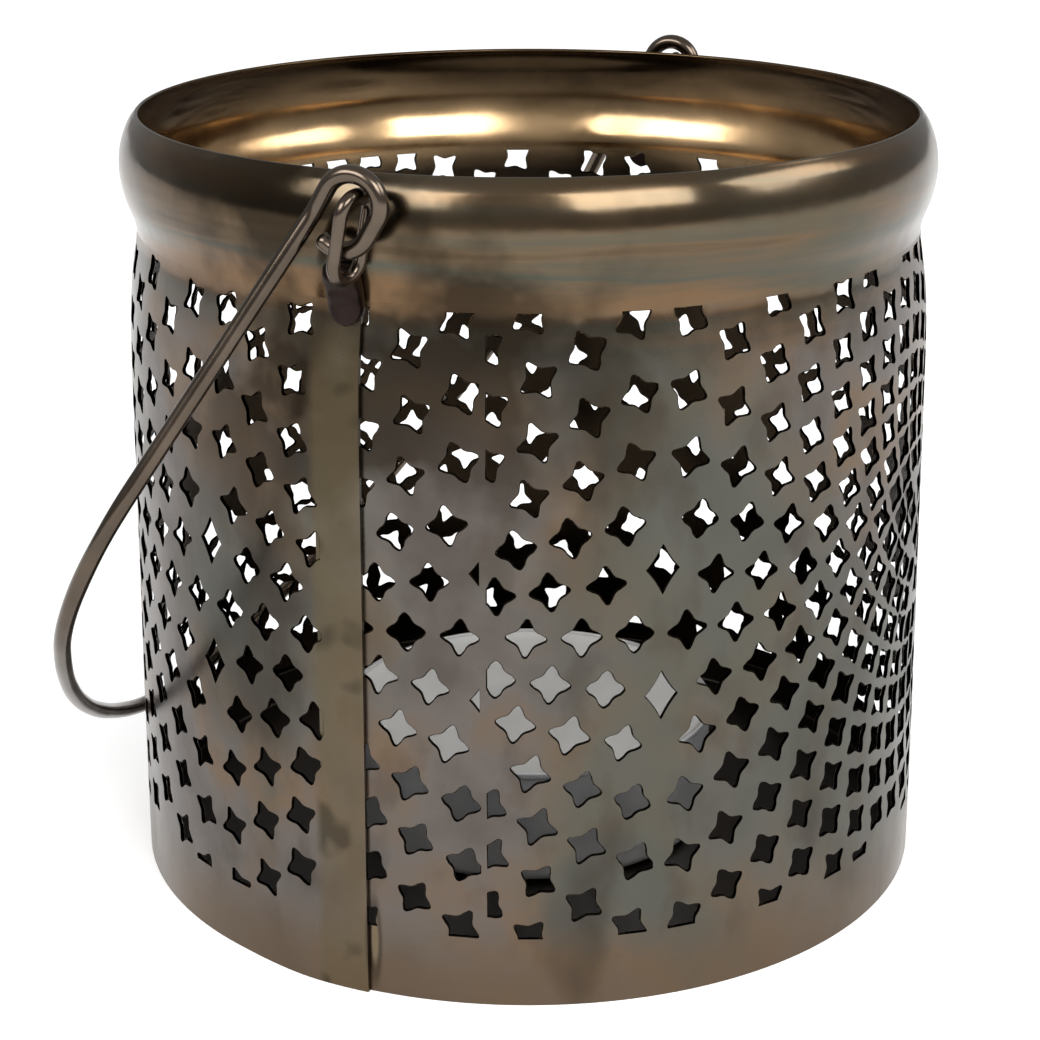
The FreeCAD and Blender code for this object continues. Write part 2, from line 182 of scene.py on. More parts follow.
def panels():
    """Each panel's rosette centre and its two edges, along the sheet."""
    yield ODD_CENTRE, -LAP, ODD_EDGE
    centre = FIRST_EDGE - PANEL_HALF
    start = ODD_EDGE
    last = TURN - SEAM_BAND
    while start < last:
        end = min(centre + PANEL_HALF, last)
        yield centre, start, end
        start = end
        centre += 2 * PANEL_HALF


def rays_of(ring):
    """Ray angles of one ring in degrees: thinned towards the middle of the rosette."""
    if ring == 0:
        return [0]
    if ring in (1, 3):
        return []
    if ring == 2:
        return range(0, 360, 5 * RAY_STEP)
    step = 2 * RAY_STEP if ring < THINNED_RINGS else RAY_STEP
    return range(step // 2 if ring % 2 else 0, 360, step)


def star(along, height, turn):
    """A four-pointed punch with blunt tips and hollow sides, as a closed outline."""
    reach = TIP_REACH * chance.uniform(*TIP_STRAY)
    waist = WAIST_REACH * chance.uniform(*WAIST_STRAY)
    tilt = math.radians(turn + chance.uniform(-TILT_STRAY, TILT_STRAY))
    along += chance.uniform(-PUNCH_STRAY, PUNCH_STRAY)
    height += chance.uniform(-PUNCH_STRAY, PUNCH_STRAY)
    spots = [(math.radians(angle), reach * share) for angle, share in TIP_SHARES]
    spots += [(math.radians(angle), waist * share) for angle, share in WAIST_SHARES]
    outline = []
    for quarter in range(4):
        base = tilt + quarter * math.pi / 2
        for angle, far in spots:
            outline.append((
                along + far * math.cos(base + angle),
                height + far * math.sin(base + angle),
            ))
    return outline


def joint_hole(along, height):
    """Where two stars meet on the line between panels: one tall hole with hollow sides."""
    outline = []
    for step in range(JOINT_HOLE_POINTS):
        angle = 2 * math.pi * step / JOINT_HOLE_POINTS
        across, up = (
            math.copysign(abs(part) ** JOINT_HOLE_HOLLOW, part)
            for part in (math.cos(angle), math.sin(angle))
        )
        outline.append((
            along + JOINT_HOLE_WIDTH / 2 * across,
            height + JOINT_HOLE_HEIGHT / 2 * up,
        ))
    return outline


def clipped(outline, axis, limit, sign):
    """The part of an outline beyond a limit (sign 1) or short of it (-1), along axis 0 or 1."""
    kept = []
    count = len(outline)
    for index in range(count):
        here, there = outline[index], outline[(index + 1) % count]
        inside = sign * (here[axis] - limit) >= 0
        next_inside = sign * (there[axis] - limit) >= 0
        if inside:
            kept.append(here)
        if inside != next_inside:
            share = (limit - here[axis]) / (there[axis] - here[axis])
            kept.append(tuple(a + share * (b - a) for a, b in zip(here, there)))
    return kept


def area(outline):
    """Area inside an outline that runs anticlockwise."""
    total = 0
    for (x0, y0), (x1, y1) in zip(outline, outline[1:] + outline[:1]):
        total += x0 * y1 - x1 * y0
    return total / 2


def middle_of(outline):
    """Mean of an outline's points."""
    return [sum(axis) / len(outline) for axis in zip(*outline)]


def pattern_height(along):
    """Height of the rosettes' middles, which drops round the tube."""
    return PATTERN_HEIGHT - PATTERN_DROP * along / TURN


def joint_holes():
    """Two tall holes on each line between panels, and half ones where the odd panel ends."""
    holes = []
    for _, start, _ in panels():
        if start < 0:
            continue
        for side in (-1, 1):
            outline = joint_hole(start, pattern_height(start) + side * JOINT_HOLE_RISE)
            if start == ODD_EDGE:
                outline = clipped(outline, 0, start - EDGE_BAND, -1)
            holes.append(outline)
    return holes


def panel_stars(centre, start, end):
    """The stars of one panel, cut off at the bands and at the panel's edges."""
    for ring in range(RINGS):
        radius = ring * RING_PITCH
        for ray in rays_of(ring):
            along = centre + radius * math.cos(math.radians(ray))
            height = pattern_height(along) + radius * math.sin(math.radians(ray))
            if not start - EDGE_REACH < along < end + EDGE_REACH:
                continue
            if not FOOT_BAND - BAND_REACH < height < TOP_BAND + BAND_REACH:
                continue
            outline = star(along, height, ray)
            outline = clipped(outline, 1, FOOT_BAND, 1)
            outline = clipped(outline, 1, TOP_BAND, -1)
            outline = clipped(outline, 0, start, 1)
            yield clipped(outline, 0, end - EDGE_BAND, -1)


def hole_outlines():
    """Every hole of the pattern; a star too small or too near to another hole is left out."""
    holes = joint_holes()
    middles = [middle_of(outline) for outline in holes]
    for panel in panels():
        for outline in panel_stars(*panel):
            if area(outline) < SMALLEST_HOLE:
                continue
            middle = middle_of(outline)
            spacing = HOLE_SPACING if area(outline) > WHOLE_HOLE else PART_SPACING
            if all(math.dist(middle, other) > spacing for other in middles):
                holes.append(outline)
                middles.append(middle)
    return holes


# Mesh of the punched sheet

# The holes' soft edge, the skin's point spacing, how near the points may come to an edge, and
# how far off a point still counts a hole as near
BEVEL = 0.14
SKIN_PITCH = 2.1
EDGE_CLEARANCE = 0.45 * SKIN_PITCH
HOLE_SEARCH = 3.2
MERGE_DISTANCE = 1e-5
FLAT_CORNER = 1e-6


def inside_outline(place, outline):
    """Whether a place lies inside, from the edges that a level line to its right crosses."""
    x, y = place
    inside = False
    for (x0, y0), (x1, y1) in zip(outline, outline[1:] + outline[:1]):
        if (y0 > y) != (y1 > y) and x < x0 + (y - y0) * (x1 - x0) / (y1 - y0):
            inside = not inside
    return inside


def grown(outline, distance):
    """The outline moved outwards, and each corner's direction towards the hole."""
    count = len(outline)
    moved, inwards = [], []
    for index in range(count):
        before = Vector(outline[index - 1])
        here = Vector(outline[index])
        after = Vector(outline[(index + 1) % count])
        first = (here - before).normalized()
        second = (after - here).normalized()
        normal = Vector((first.y + second.y, -first.x - second.x))
        if normal.length < FLAT_CORNER:
            normal = Vector((first.y, -first.x))
        normal.normalize()
        moved.append(tuple(here + normal * distance))
        inwards.append(tuple(-normal))
    return moved, inwards


def new_piece(name, places, faces):
    """A smooth-shaded mesh object at the origin."""
    mesh = bpy.data.meshes.new(name)
    mesh.from_pydata(places, [], faces)
    mesh.shade_smooth()
    piece = bpy.data.objects.new(name, mesh)
    bpy.context.scene.collection.objects.link(piece)
    return piece


def ring_faces(rows, columns, joined=False):
    """Faces of a closed ring of columns, row by row; joined rows end where they start."""
    faces = []
    for row in range(rows if joined else rows - 1):
        after = (row + 1) % rows
        for column in range(columns):
            beside = (column + 1) % columns
            faces.append((
                row * columns + column, row * columns + beside,
                after * columns + beside, after * columns + column,
            ))
    return faces


def flat_sheet(low, high, outlines):
    """Places of the rolled-out skin, the fixed edges, the border's and holes' rings, and owners.

    An owner is the number of the hole that a ring's place belongs to.
    """
    near, far = -LAP, TURN
    columns = round((far - near) / SKIN_PITCH)
    rows = round((high - low) / SKIN_PITCH)
    step_u = (far - near) / columns
    step_v = (high - low) / rows
    border = [(near + i * step_u, low) for i in range(columns)]
    border += [(far, low + j * step_v) for j in range(rows)]
    border += [(far - i * step_u, high) for i in range(columns)]
    border += [(near, high - j * step_v) for j in range(rows)]

    flat, edges, rings = [], [], []
    for loop in [border] + outlines:
        ring = list(range(len(flat), len(flat) + len(loop)))
        flat.extend(loop)
        edges.extend(zip(ring, ring[1:] + ring[:1]))
        rings.append(ring)
    owner = {index: number for number, ring in enumerate(rings[1:]) for index in ring}

    taken = KDTree(len(flat))
    for index, place in enumerate(flat):
        taken.insert((*place, 0), index)
    taken.balance()
    for i in range(1, columns):
        for j in range(1, rows):
            shift = step_u / 2 if j % 2 else 0
            spot = (near + i * step_u - shift, low + j * step_v)
            if taken.find((*spot, 0))[2] < EDGE_CLEARANCE:
                continue
            found = taken.find_range((*spot, 0), HOLE_SEARCH)
            close = {owner[index] for _, index, _ in found if index in owner}
            if not any(inside_outline(spot, outlines[number]) for number in close):
                flat.append(spot)
    return flat, edges, rings, owner


def skin_triangles(flat, faces, owner, outlines):
    """The triangulation's faces without those that fill a hole."""
    kept = []
    for face in faces:
        owners = {owner.get(index) for index in face}
        if len(owners) == 1 and None not in owners:
            middle = sum((flat[i] for i in face), Vector((0, 0))) / len(face)
            if inside_outline(middle, outlines[owners.pop()]):
                continue
        kept.append(tuple(face))
    return kept


def sheet_piece(name, low, high, holes):
    """A rolled sheet with punched holes: two skins, softened hole edges and open ends closed."""
    loops = [grown(hole, BEVEL) for hole in holes]
    outlines = [loop for loop, _ in loops]
    flat, edges, rings, owner = flat_sheet(low, high, outlines)
    solved = delaunay_2d_cdt([Vector(p) for p in flat], edges, [], 0, MERGE_DISTANCE)
    flat, found, origin = solved[0], solved[2], solved[3]
    back = {source: index for index, sources in enumerate(origin) for source in sources}
    owner = {back[index]: number for index, number in owner.items()}
    triangles = skin_triangles(flat, found, owner, outlines)

    places, normals = [], []
    for side, depth in ((1, 0.0), (-1, SHEET)):
        for along, up in flat:
            places.append(rolled(along, up, depth))
            normals.append(outward(along, up) * side)
    total = len(flat)
    faces = triangles + [tuple(index + total for index in reversed(face)) for face in triangles]

    for ring, hole, (_, inwards) in zip(rings[1:], holes, loops):
        first = len(places)
        count = len(ring)
        for depth in (BEVEL, SHEET - BEVEL):
            for (along, up), (aside, lift) in zip(hole, inwards):
                bearing = bearing_at(along)
                places.append(rolled(along, up, depth))
                normals.append(Vector((
                    -math.sin(bearing) * aside, math.cos(bearing) * aside, lift
                )))
        outer = [back[index] for index in ring]
        layers = [outer, list(range(first, first + count))]
        layers += [list(range(first + count, first + 2 * count)), [i + total for i in outer]]
        for upper, lower in zip(layers, layers[1:]):
            for index in range(count):
                after = (index + 1) % count
                faces.append((upper[after], upper[index], lower[index], lower[after]))

    rim = [back[index] for index in rings[0]]
    for here, there in zip(rim, rim[1:] + rim[:1]):
        first = len(places)
        places.extend(places[corner] for corner in (here, there, there + total, here + total))
        face = (first + 3, first + 2, first + 1, first)
        a, b, c = (places[i] for i in face[:3])
        normals.extend([(b - a).cross(c - b).normalized()] * 4)
        faces.append(face)
    piece = new_piece(name, places, faces)
    piece.data.normals_split_custom_set_from_vertices(normals)
    return piece


# Collar

COLLAR_PITCH = 0.6
COLLAR_COLUMNS = 384
LIP_SOFTNESS = 0.15
LIP_CROWN = 0.05
LAP_CLOSE_SHARE = 0.5


def collar_piece(name, low, high):
    """The same rolled sheet above the wall, with a soft lip; its lap closes on the way up."""
    heights = []
    height = low
    while height < high - COLLAR_PITCH / 2:
        heights.append(height)
        height += COLLAR_PITCH
    heights.append(high - LIP_SOFTNESS)
    section = [(h, 0.0, 1) for h in heights]
    section += [(high + LIP_CROWN, SHEET / 2, 0)]
    section += [(h, SHEET, -1) for h in reversed(heights)]
    places, normals = [], []
    for height, depth, side in section:
        for column in range(COLLAR_COLUMNS):
            along = TURN * column / COLLAR_COLUMNS
            bearing = bearing_at(along)
            closed = ease((height - low) / (high - low) / LAP_CLOSE_SHARE)
            back_in = lap_rise(along) * closed * MM
            outwards = Vector((math.cos(bearing), math.sin(bearing), 0))
            places.append(rolled(along, height, depth) - outwards * back_in)
            normals.append(outward(along, height) * side if side else Vector((0, 0, 1)))
    piece = new_piece(name, places, ring_faces(len(section), COLLAR_COLUMNS, joined=True))
    piece.data.normals_split_custom_set_from_vertices(normals)
    return piece


# Swept wires and turned pieces

WIRE_PITCH = 0.35
WIRE_SIDES = 20

# How a wire's radius wavers along it, as a share and in radians for each of its places
WAVER = 0.02
WAVER_RATE = 0.21
WAVER_SWELL = 0.047
WAVER_PHASE = 1

# Domes on a wire's ends, as shares of its radius and of a quarter turn
END_BULGE = 0.6
END_TIP = 0.62
END_SHARES = (0.45, 0.8)

LATHE_COLUMNS = 160
AXIS_RADIUS = 0.05
CORNER_SHARES = (0.0, 0.15, 0.35, 0.5, 0.65, 0.85, 1.0)


def sampled(start, end, point_at, pitch=WIRE_PITCH):
    """Evenly spaced places between two values of a path's own measure, the end left out."""
    steps = max(2, round(abs(end - start) / pitch))
    return [point_at(start + (end - start) * step / steps) for step in range(steps)]


def swept_frames(line, closed):
    """A tangent and a side for each place of a line; a closed line shares its twist out."""
    count = len(line)
    tangents = []
    for index in range(count):
        before = line[index - 1] if closed or index else line[0]
        after = line[(index + 1) % count] if closed or index < count - 1 else line[-1]
        tangents.append((after - before).normalized())
    sides = [tangents[0].orthogonal().normalized()]
    for last, tangent in zip(tangents, tangents[1:]):
        sides.append(last.rotation_difference(tangent) @ sides[-1])
    twist = 0.0
    if closed:
        back = tangents[-1].rotation_difference(tangents[0]) @ sides[-1]
        across = tangents[0].cross(sides[0])
        twist = -math.atan2(back.dot(across), back.dot(sides[0]))
    for index, tangent in enumerate(tangents):
        sides[index] = Matrix.Rotation(twist * index / count, 3, tangent) @ sides[index]
    return tangents, sides


def add_round_end(places, faces, ring, centre, out, reverse):
    """A low dome on a wire's end ring; out is the wire's radius along its way out."""
    count = len(ring)
    rounds = [ring]
    for share in END_SHARES:
        angle = share * math.pi / 2
        rounds.append(list(range(len(places), len(places) + count)))
        for index in ring:
            offset = places[index] - centre
            places.append(centre + offset * math.cos(angle) + out * END_BULGE * math.sin(angle))
    tip = len(places)
    places.append(centre + out * END_TIP)
    domes = []
    for step in range(count):
        beside = (step + 1) % count
        for inner, outer in zip(rounds, rounds[1:]):
            domes.append((inner[step], outer[step], outer[beside], inner[beside]))
        domes.append((rounds[-1][step], tip, rounds[-1][beside]))
    faces.extend(dome[::-1] if reverse else dome for dome in domes)


def tube_piece(name, line, radius, closed=False, sides=WIRE_SIDES):
    """A round, slightly uneven wire along a line of places in metres."""
    tangents, side_ways = swept_frames(line, closed)
    places = []
    for index, (spot, tangent, first) in enumerate(zip(line, tangents, side_ways)):
        second = tangent.cross(first)
        waver = math.sin(index * WAVER_RATE) * math.sin(index * WAVER_SWELL + WAVER_PHASE)
        far = radius * MM * (1 + WAVER * waver)
        for step in range(sides):
            angle = 2 * math.pi * step / sides
            places.append(spot + (first * math.cos(angle) + second * math.sin(angle)) * far)
    faces = ring_faces(len(line), sides, joined=closed)
    if not closed:
        for index, sign in ((0, -1), (len(line) - 1, 1)):
            ring = list(range(index * sides, (index + 1) * sides))
            out = tangents[index] * (sign * radius * MM)
            add_round_end(places, faces, ring, line[index], out, sign > 0)
    return new_piece(name, places, faces)


def lathe_piece(name, outline, columns=LATHE_COLUMNS):
    """Radius and height pairs turned about the lantern's axis, with its ends closed."""
    places = []
    for radius, height in outline:
        for column in range(columns):
            angle = 2 * math.pi * column / columns
            places.append(Vector((radius * math.cos(angle), radius * math.sin(angle), height)) * MM)
    rows = len(outline)
    faces = ring_faces(rows, columns)
    faces.append(tuple(reversed(range(columns))))
    faces.append(tuple(range((rows - 1) * columns, rows * columns)))
    return new_piece(name, places, faces)


def rounded(corners):
    """An outline whose middle corners (radius, height, cut) are each turned by a small curve."""
    outline = [corners[0][:2]]
    for before, here, after in zip(corners, corners[1:], corners[2:]):
        spot = Vector(here[:2])
        back = (Vector(before[:2]) - spot).normalized() * here[2]
        ahead = (Vector(after[:2]) - spot).normalized() * here[2]
        for share in CORNER_SHARES:
            first = spot + back * (1 - share)
            second = spot + ahead * share
            outline.append(tuple(first.lerp(second, share)))
    outline.append(corners[-1][:2])
    return outline


# Rings and ears, in millimetres from the seam's bearing

BEAD_GAP = 0.1
LUG_WIRE = 0.9
LUG_HALF_WIDTH = 2.6
LUG_STRAIGHT = 6.2
LUG_REACH = BEAD_RADIUS + BEAD_GAP + LUG_WIRE + LUG_HALF_WIDTH
LUG_LEAN = math.radians(12)
LUG_TURN = math.radians(15)
HINGE_DROP = 1.7
HINGE_HEIGHT = LIP_HEIGHT - HINGE_DROP
HINGE_SHIFT = 2.1

EAR_WIDTH = 4.7
EAR_FOOT = 95.0
EAR_TOP = 103.6
EAR_SHIFT = 2.0
EAR_SINK = 0.5
EAR_CORNER = 0.8
EAR_FOOT_THINNING = 0.35
EAR_FOOT_RUN = 0.5
EAR_TOP_THINNING = 0.5
EAR_SQUARENESS = 0.55
EAR_END = 0.02
EAR_ROWS = 26
EAR_AROUND = 28
STRAND_REACH = LUG_REACH - LUG_HALF_WIDTH
RING_FOOT = HINGE_HEIGHT - LUG_STRAIGHT - 2 * LUG_HALF_WIDTH

# How far the ear's front stands from the axis at each height, up to the ring's inner strand
EAR_FRONT = [
    (EAR_FOOT, 59.9), (97.5, 60.1), (99.5, 60.8),
    (RING_FOOT, STRAND_REACH + 0.9), (EAR_TOP, STRAND_REACH + 0.2),
]


def seam_frame(half_turn=0.0):
    """A frame on the axis whose X runs out through the seam, or away from it."""
    return Matrix.Rotation(SEAM_BEARING + half_turn, 4, "Z")


def side_frame(way):
    """The seam's side for 1, and the far side for -1."""
    return seam_frame(0.0 if way == 1 else math.pi)


def lug_ring(name, way):
    """An oval ring of wire that hangs from the hinge's height."""
    half = LUG_HALF_WIDTH
    low = -half - LUG_STRAIGHT
    oval = sampled(0, math.pi * half, lambda s: Vector((
        half * math.cos(s / half), 0, -half + half * math.sin(s / half))))
    oval += sampled(0, LUG_STRAIGHT, lambda s: Vector((-half, 0, -half - s)))
    oval += sampled(0, math.pi * half, lambda s: Vector((
        -half * math.cos(s / half), 0, low - half * math.sin(s / half))))
    oval += sampled(0, LUG_STRAIGHT, lambda s: Vector((half, 0, low + s)))
    stand = side_frame(way) @ Matrix.Translation((LUG_REACH, way * HINGE_SHIFT, HINGE_HEIGHT))
    stand = stand @ Matrix.Rotation(-way * LUG_TURN, 4, "Z")
    stand = stand @ Matrix.Rotation(-way * LUG_LEAN, 4, "X")
    return tube_piece(name, [stand @ spot * MM for spot in oval], LUG_WIRE, closed=True)


def ear_half_width(up):
    """Half the tongue's width: round at its foot, with small round corners at its top."""
    half = EAR_WIDTH / 2
    below = max(0.0, EAR_FOOT + half - up)
    above = max(0.0, up - (EAR_TOP - EAR_CORNER))
    corner = EAR_CORNER - math.sqrt(EAR_CORNER ** 2 - above ** 2)
    return math.sqrt(half ** 2 - below ** 2) - corner


def ear_front(up):
    """How far out the front stands, drawn in a little at the foot and at the top."""
    for (z0, x0), (z1, x1) in zip(EAR_FRONT, EAR_FRONT[1:]):
        if z0 <= up <= z1:
            outer = x0 + (x1 - x0) * ease((up - z0) / (z1 - z0))
    foot = 1 - min(1, (up - EAR_FOOT) / EAR_FOOT_RUN)
    top = min(1, max(0.0, up - (EAR_TOP - EAR_CORNER)))
    return outer - EAR_FOOT_THINNING * foot - EAR_TOP_THINNING * top


def ear_piece(name, way):
    """A tongue brazed to the neck that swells out to hold the foot of its ring."""
    stand = side_frame(way)
    places = []
    for row in range(EAR_ROWS + 1):
        up = EAR_FOOT + EAR_END + (EAR_TOP - EAR_FOOT - 2 * EAR_END) * row / EAR_ROWS
        wide = ear_half_width(up)
        outer = ear_front(up)
        inner = profile_radius(up) - EAR_SINK
        for step in range(EAR_AROUND):
            angle = 2 * math.pi * step / EAR_AROUND
            out, aside = (
                math.copysign(abs(part) ** EAR_SQUARENESS, part)
                for part in (math.cos(angle), math.sin(angle))
            )
            x = (outer + inner) / 2 + (outer - inner) / 2 * out
            places.append(stand @ Vector((x, -way * EAR_SHIFT + wide * aside, up)) * MM)
    faces = ring_faces(EAR_ROWS + 1, EAR_AROUND)
    faces.append(tuple(reversed(range(EAR_AROUND))))
    faces.append(tuple(range(EAR_ROWS * EAR_AROUND, (EAR_ROWS + 1) * EAR_AROUND)))
    return new_piece(name, places, faces)


# Bail: the wire and its eyes, then arm, shoulder and flank down to the bow

BAIL_WIRE = 1.2
EYE_RADIUS = 3.8
EYE_STRAIGHT = 2.6
EYE_CLEARANCE = 0.3
EYE_TAIL = math.radians(15)
EYE_STEP = 0.09
ARM_BEND = 8.0
ARM_LEAN = math.radians(15.5)
ARM_LENGTH = 42.3
ARM_PITCH = 0.8
SHOULDER_BEND = 35.0
SHOULDER_TURN = math.radians(52.4)
FLANK_BEND = 110.0
FLANK_TURN = math.radians(31.8)
BEND_PITCH = 0.5
REST_GAP = 0.3


def bail_piece(name):
    """Half the wire from its eye's tail to the middle of the bow, and its mirror image."""
    eye_down = EYE_RADIUS - BAIL_WIRE - LUG_WIRE - EYE_CLEARANCE
    low = eye_down + EYE_STRAIGHT

    def round_eye(down, angle):
        return Vector((
            LUG_REACH, -EYE_RADIUS * math.sin(angle), EYE_RADIUS * math.cos(angle) - down
        ))

    left, right = math.radians(270), math.radians(90)
    line = sampled(math.pi - EYE_TAIL, left, lambda a: round_eye(low, a), EYE_STEP)
    line += sampled(low, eye_down, lambda down: round_eye(down, left))
    line += sampled(left - 2 * math.pi, right, lambda a: round_eye(eye_down, a), EYE_STEP)
    line += sampled(eye_down, low, lambda down: round_eye(down, right))

    heading = 0.0
    across, down = LUG_REACH, low

    def bend(radius, turn):
        nonlocal heading, across, down
        side = -math.copysign(1, turn)
        first, x0, d0 = heading, across, down

        def spot(angle):
            return Vector((
                x0 + side * radius * (math.cos(angle) - math.cos(first)), -EYE_RADIUS,
                -d0 + side * radius * (math.sin(angle) - math.sin(first)),
            ))
        heading = first + turn
        stretch = sampled(first, heading, spot, BEND_PITCH / radius)
        end = spot(heading)
        across, down = end.x, -end.z
        return stretch

    line += bend(ARM_BEND, ARM_LEAN)
    lean = Vector((math.sin(ARM_LEAN), 0, -math.cos(ARM_LEAN)))
    arm = Vector((across, -EYE_RADIUS, -down))
    line += sampled(0, ARM_LENGTH, lambda s: arm + lean * s, ARM_PITCH)
    arm += lean * ARM_LENGTH
    across, down = arm.x, -arm.z
    line += bend(SHOULDER_BEND, -SHOULDER_TURN)
    line += bend(FLANK_BEND, -FLANK_TURN)
    bow = across / math.cos(heading)
    lowest = down + bow * (1 + math.sin(heading))
    line += bend(bow, -math.pi / 2 - heading)
    line += [Vector((0, -EYE_RADIUS, -lowest))]
    line += [Vector((-spot.x, spot.y, spot.z)) for spot in reversed(line[:-1])]

    touch = WALL_RADIUS + BAIL_WIRE + REST_GAP + HINGE_SHIFT
    hang = math.asin(touch / math.hypot(lowest, EYE_RADIUS)) - math.atan2(EYE_RADIUS, lowest)
    stand = seam_frame() @ Matrix.Translation((0, HINGE_SHIFT, HINGE_HEIGHT))
    stand = stand @ Matrix.Rotation(-hang, 4, "X")
    return tube_piece(name, [stand @ spot * MM for spot in line], BAIL_WIRE)


# Base and candle

FLOOR_HEIGHT = 1.5
BASE_FIT = 0.2
FLANGE = 6.0
FLANGE_BEND = 1.2
FLANGE_INNER_BEND = 0.7
FLANGE_EDGE = 0.2

SEAT_GAP = 0.1
SEAT = FLOOR_HEIGHT + SHEET + SEAT_GAP
CUP_RADIUS = 29.0
CUP_HEIGHT = 18.0
CUP_WALL = 0.3
CUP_BEND = 1.6
CUP_COLUMNS = 192
RIM_ROLL = 0.9
RIM_SLOPE = 0.2
RIM_BEND = 0.25
RIM_EDGE = 0.15
RIM_CROWN = 0.3

WAX_GAP = 0.06
WAX_DROP = 0.9
WAX_CLIMB = 0.5
WAX_CLIMB_WIDTH = 1.6
WAX_LIFT = 0.05
WAX_BEND = 1.2
WAX_EDGE = 0.1
POOL_RADIUS = 6.0
POOL_DIP = 0.25
WELL_RADIUS = 2.0
WELL_DIP = 0.35
WICK_RISE = 0.1

WICK_RADIUS = 0.75
WICK_LENGTH = 8.2
WICK_ROOT = 2.0
WICK_PITCH = 0.4
WICK_SIDES = 14
WICK_BOW = (0.0070, 0.0025)


def base_piece(name):
    """A pressed tray with an upturned flange inside the wall."""
    edge = WALL_RADIUS - SHEET - BASE_FIT
    top = FLOOR_HEIGHT + FLANGE
    return lathe_piece(name, rounded([
        (AXIS_RADIUS, FLOOR_HEIGHT, 0), (edge, FLOOR_HEIGHT, FLANGE_BEND),
        (edge, top, FLANGE_EDGE), (edge - SHEET, top, FLANGE_EDGE),
        (edge - SHEET, FLOOR_HEIGHT + SHEET, FLANGE_INNER_BEND),
        (AXIS_RADIUS, FLOOR_HEIGHT + SHEET, 0),
    ]))


def cup_piece(name):
    """A thin pressed cup with a rolled rim."""
    rim = SEAT + CUP_HEIGHT
    side = CUP_RADIUS - CUP_WALL
    inside = side - CUP_WALL
    return lathe_piece(name, rounded([
        (AXIS_RADIUS, SEAT, 0), (side, SEAT, CUP_BEND),
        (side, rim - RIM_ROLL - RIM_SLOPE, RIM_BEND), (CUP_RADIUS, rim - RIM_ROLL, RIM_EDGE),
        (CUP_RADIUS, rim, RIM_CROWN), (inside, rim, RIM_BEND),
        (inside, SEAT + CUP_WALL, CUP_BEND - CUP_WALL), (AXIS_RADIUS, SEAT + CUP_WALL, 0),
    ]), CUP_COLUMNS)


def wax_piece(name):
    """Wax that climbs a little at the cup's wall and dips towards the wick."""
    bottom = SEAT + CUP_WALL + WAX_LIFT
    top = SEAT + CUP_HEIGHT - WAX_DROP
    edge = CUP_RADIUS - 2 * CUP_WALL - WAX_GAP
    return lathe_piece(name, rounded([
        (AXIS_RADIUS, bottom, 0), (edge, bottom, WAX_BEND), (edge, top + WAX_CLIMB, WAX_EDGE),
        (edge - WAX_CLIMB_WIDTH, top, WAX_BEND), (POOL_RADIUS, top - POOL_DIP, POOL_RADIUS / 2),
        (WELL_RADIUS, top - WELL_DIP, WELL_RADIUS / 2), (AXIS_RADIUS, top + WICK_RISE, 0),
    ]))


def wick_piece(name):
    """A round wick that bows a little to one side."""
    root = SEAT + CUP_HEIGHT - WICK_ROOT
    bow_x, bow_y = WICK_BOW
    line = sampled(0, WICK_LENGTH, lambda s: Vector((
        bow_x * s * s, bow_y * s * s, root + s)) * MM, WICK_PITCH)
    return tube_piece(name, line, WICK_RADIUS, sides=WICK_SIDES)


# Nodes for materials

# Sockets of a colour mix, and the values between which most of a cloud lies
MIX_FACTOR, MIX_UNDER, MIX_OVER, MIX_RESULT = 0, 6, 7, 2
CLOUD_LOW = 0.3
CLOUD_HIGH = 0.7


def shader(name, metallic):
    """A new material, its node tree and its shader."""
    material = bpy.data.materials.new(name)
    material.use_nodes = True
    tree = material.node_tree
    base = tree.nodes["Principled BSDF"]
    base.inputs["Metallic"].default_value = metallic
    return material, tree, base


def noise(tree, place, scale, detail, stretch=(1, 1, 1)):
    """Cloudy values in object space; a stretch above 1 packs them closer on that axis."""
    mapping = tree.nodes.new("ShaderNodeMapping")
    mapping.inputs["Scale"].default_value = stretch
    tree.links.new(place.outputs["Object"], mapping.inputs["Vector"])
    cloud = tree.nodes.new("ShaderNodeTexNoise")
    cloud.inputs["Scale"].default_value = scale
    cloud.inputs["Detail"].default_value = detail
    tree.links.new(mapping.outputs["Vector"], cloud.inputs["Vector"])
    return cloud.outputs["Fac"]


def ramp(tree, source, stops):
    """A colour for each value, from stops of position and colour."""
    node = tree.nodes.new("ShaderNodeValToRGB")
    tree.links.new(source, node.inputs["Fac"])
    marks = node.color_ramp.elements
    while len(marks) < len(stops):
        marks.new(0.5)
    for mark, (position, colour) in zip(marks, stops):
        mark.position = position
        mark.color = (*colour, 1)
    return node.outputs["Color"]


def between(tree, source, low, high):
    """0 at low, 1 at high, even between them and held beyond them; low may be the larger."""
    node = tree.nodes.new("ShaderNodeMapRange")
    tree.links.new(source, node.inputs["Value"])
    node.inputs["From Min"].default_value = low
    node.inputs["From Max"].default_value = high
    return node.outputs["Result"]


def combined(tree, operation, first, second):
    """Two values, or a value and a number, put together by a math node."""
    node = tree.nodes.new("ShaderNodeMath")
    node.operation = operation
    for socket, source in zip(node.inputs, (first, second)):
        if isinstance(source, float):
            socket.default_value = source
        else:
            tree.links.new(source, socket)
    return node.outputs["Value"]


def patches(tree, place, low, high, **clouds):
    """0 where the clouds are thinner than low, 1 where they are thicker than high."""
    return between(tree, noise(tree, place, **clouds), low, high)


